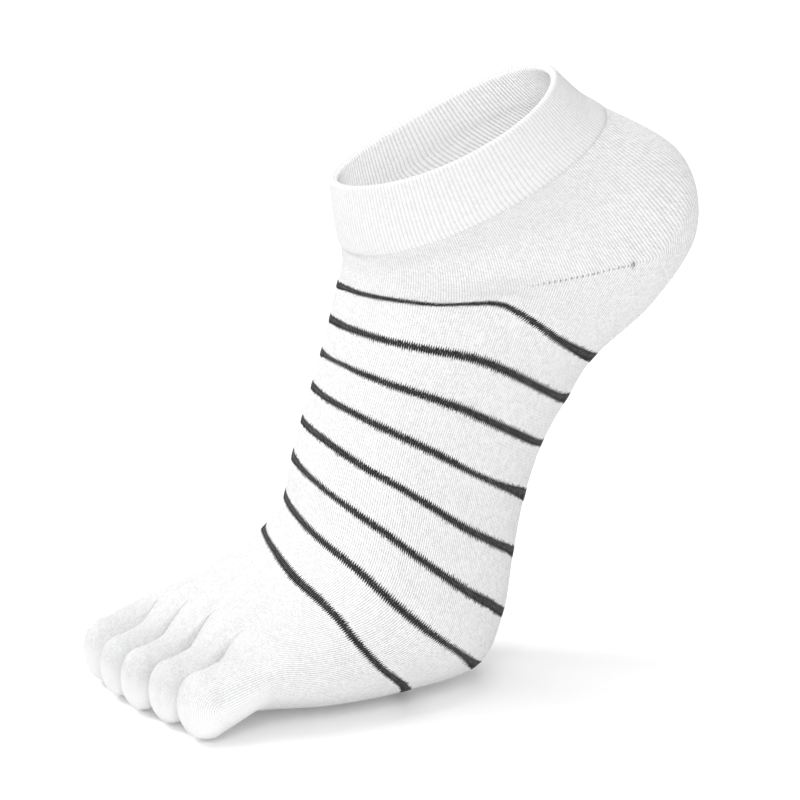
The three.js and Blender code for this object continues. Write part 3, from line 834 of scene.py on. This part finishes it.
class SOCK_OT_stage(bpy.types.Operator):
    """Pale floor, soft lights and the photograph's camera"""
    bl_idname = "sock.stage"
    bl_label = "Stage"

    def execute(self, context):
        scene = context.scene
        az, el = np.radians([AZIMUTH, ELEVATION])
        back = np.array([np.sin(az) * np.cos(el), -np.cos(az) * np.cos(el), np.sin(el)])
        right = np.array([np.cos(az), np.sin(az), 0.0])
        up = np.cross(back, right)
        data = bpy.data.cameras.new("photo_camera")
        data.sensor_width = 36
        data.lens = FOCAL_PIXELS / PICTURE * data.sensor_width
        data.clip_start, data.clip_end = 0.05, 60
        camera = bpy.data.objects.new("photo_camera", data)
        scene.collection.objects.link(camera)
        turn = Matrix(np.stack([right, up, back], 1).tolist()).to_4x4()
        camera.matrix_world = Matrix.Translation(np.array(CAMERA_AT) / 1000) @ turn
        scene.camera = camera

        # A floor far wider than the picture, just under the lowest toe.
        low = CAD_BOX[0][2] - FLOOR_DROP
        edge = np.array([(x, y, low) for x, y in ((-1, -1), (1, -1), (1, 1), (-1, 1))]) * (FLOOR_REACH, FLOOR_REACH, 1)
        floor = mesh_object("studio_floor", edge * 1000, np.array([[0, 1, 2, 3]]), np.zeros((0, 3), int),
                            np.zeros((1, 4, 2)), np.zeros((0, 3, 2)))
        # Matt white paper: no gloss, and a glow of its own that keeps it as white as the photograph's ground.
        paper = bpy.data.materials.new("white_paper_sweep")
        paper.use_nodes = True
        tree = paper.node_tree
        shader = tree.nodes["Principled BSDF"]
        place = node(tree, "TexCoord")["Object"]
        place = node(tree, "Mapping", named={"Vector": place, "Location": (FLOOR_REACH,) * 3, "Scale": (1, 1, 0)})[0]
        grain = node(tree, "TexNoise", named={"Vector": place, "Scale": 1 / FLOOR_CLOUD})[0]
        ramp = node(tree, "ValToRGB", grain)[0]
        shades = ramp.node.color_ramp.elements
        shades[0].color, shades[1].color = linear(FLOOR_SHADE), linear(scene.sock_colours.floor)
        tree.links.new(ramp, shader.inputs["Base Color"])
        for key, value in (("Roughness", 1.0), ("Specular IOR Level", 0.0), ("Emission Color", (1, 1, 1, 1)),
                           ("Emission Strength", FLOOR_GLOW)):
            shader.inputs[key].default_value = value
        floor.data.materials.append(paper)

        world = bpy.data.worlds.new("soft_room")
        world.use_nodes = True
        room = world.node_tree.nodes["Background"]
        room.inputs["Color"].default_value, room.inputs["Strength"].default_value = (1, 1, 1, 1), ROOM_LIGHT
        scene.world = world
        for name, (at, size, watts) in LIGHTS.items():
            light(name, at, size, watts)
        scene.view_settings.view_transform = "Standard"
        scene.view_settings.look = "None"
        return {"FINISHED"}


class SOCK_OT_jersey(bpy.types.Operator):
    """Jersey tube from the ankle to the toe roots"""
    bl_idname = "sock.jersey"
    bl_label = "Jersey tube"

    def execute(self, context):
        piece = build_jersey(context.scene.sock_sizes)
        finish_piece(piece, ("cotton_jersey_tube", "cotton_inside_painted_glow"), "white_jersey", "foot_body")
        return {"FINISHED"}


class SOCK_OT_yarns(bpy.types.Operator):
    """Yarn materials"""
    bl_idname = "sock.yarns"
    bl_label = "Yarns"

    def execute(self, context):
        colours = context.scene.sock_colours
        # Combed cotton knitted plain: matt and bright, with soft shadow between the wales.
        cotton = colours.cotton, colours.cotton_groove_shade
        yarn_material("cotton_jersey_tube", *cotton, 0.22, join=True)
        yarn_material("cotton_jersey_toes", *cotton, 0.22, plain=True)
        # Painted light: the inside faces glow a little, an emission standing in for light that comes through the thin
        # cloth.
        yarn_material("cotton_inside_painted_glow", *cotton, 0.28, glow=0.15)
        # The same cotton with elastic, knitted one by one rib: rounder wales, deeper grooves, hardly a loop to see.
        # Its outside is painted darker than the same cotton inside, as painted shade, and darker still in the grooves.
        yarn_material("cotton_rib", RIB_SHADED_CROWN, RIB_SHADED_GROOVE, 0.12, loops=0.08)
        # Painted light on the welt's inside as well: the same small emission glow.
        yarn_material("cotton_rib_inside_painted_glow", *cotton, 0.16, loops=0.08, glow=0.15)
        # Dyed polyester and cotton face yarn: near black, a few light specks of the backing yarn between loops.
        yarn_material("black_face_yarn", colours.stripe, STRIPE_SHADE, 0.2, fleck=BACKING_FLECK, roughness=0.85)
        return {"FINISHED"}


class SOCK_OT_welt(bpy.types.Operator):
    """Rib welt round the opening"""
    bl_idname = "sock.welt"
    bl_label = "Rib welt"

    def execute(self, context):
        piece = build_welt(context.scene.sock_sizes)
        finish_piece(piece, ("cotton_rib", "cotton_rib_inside_painted_glow"), "white_rib", "cuff")
        return {"FINISHED"}


class SOCK_OT_stripes(bpy.types.Operator):
    """Eight black stripes"""
    bl_idname = "sock.stripes"
    bl_label = "Stripes"

    def execute(self, context):
        for row in STRIPE_ROWS:
            name = ROWS[row]
            piece = build_stripe(name.replace("stripe", "black_ring"), row, context.scene.sock_sizes)
            finish_piece(piece, ("black_face_yarn",), "black_yarn", name)
        return {"FINISHED"}


class SOCK_OT_toes(bpy.types.Operator):
    """Five toe pockets"""
    bl_idname = "sock.toes"
    bl_label = "Toe pockets"

    def execute(self, context):
        for name in TOES:
            piece = build_toe(name, context.scene.sock_sizes)
            finish_piece(piece, ("cotton_jersey_toes",), "white_jersey", name)
        return {"FINISHED"}


class SOCK_PT_parts(bpy.types.Panel):
    """The sock's parts and sizes"""
    bl_label = "Toe sock"
    bl_idname = "SOCK_PT_parts"
    bl_space_type = "VIEW_3D"
    bl_region_type = "UI"
    bl_category = "Toe sock"

    def draw(self, context):
        for group in (context.scene.sock_sizes, context.scene.sock_colours):
            for key in group.__annotations__:
                self.layout.prop(group, key)
        for operator in OPERATORS:
            self.layout.operator(operator.bl_idname)


OPERATORS = (SOCK_OT_stage, SOCK_OT_yarns, SOCK_OT_jersey, SOCK_OT_welt, SOCK_OT_stripes, SOCK_OT_toes)
CLASSES = (SockSizes, SockColours, *OPERATORS, SOCK_PT_parts)


def register():
    for cls in CLASSES:
        bpy.utils.register_class(cls)
    bpy.types.Scene.sock_sizes = bpy.props.PointerProperty(type=SockSizes)
    bpy.types.Scene.sock_colours = bpy.props.PointerProperty(type=SockColours)


def unregister():
    del bpy.types.Scene.sock_colours
    del bpy.types.Scene.sock_sizes
    for cls in reversed(CLASSES):
        bpy.utils.unregister_class(cls)


def main():
    register()
    bpy.ops.sock.stage()
    bpy.ops.sock.yarns()
    bpy.ops.sock.jersey()
    bpy.ops.sock.welt()
    bpy.ops.sock.stripes()
    bpy.ops.sock.toes()


if __name__ == "__main__":
    main()
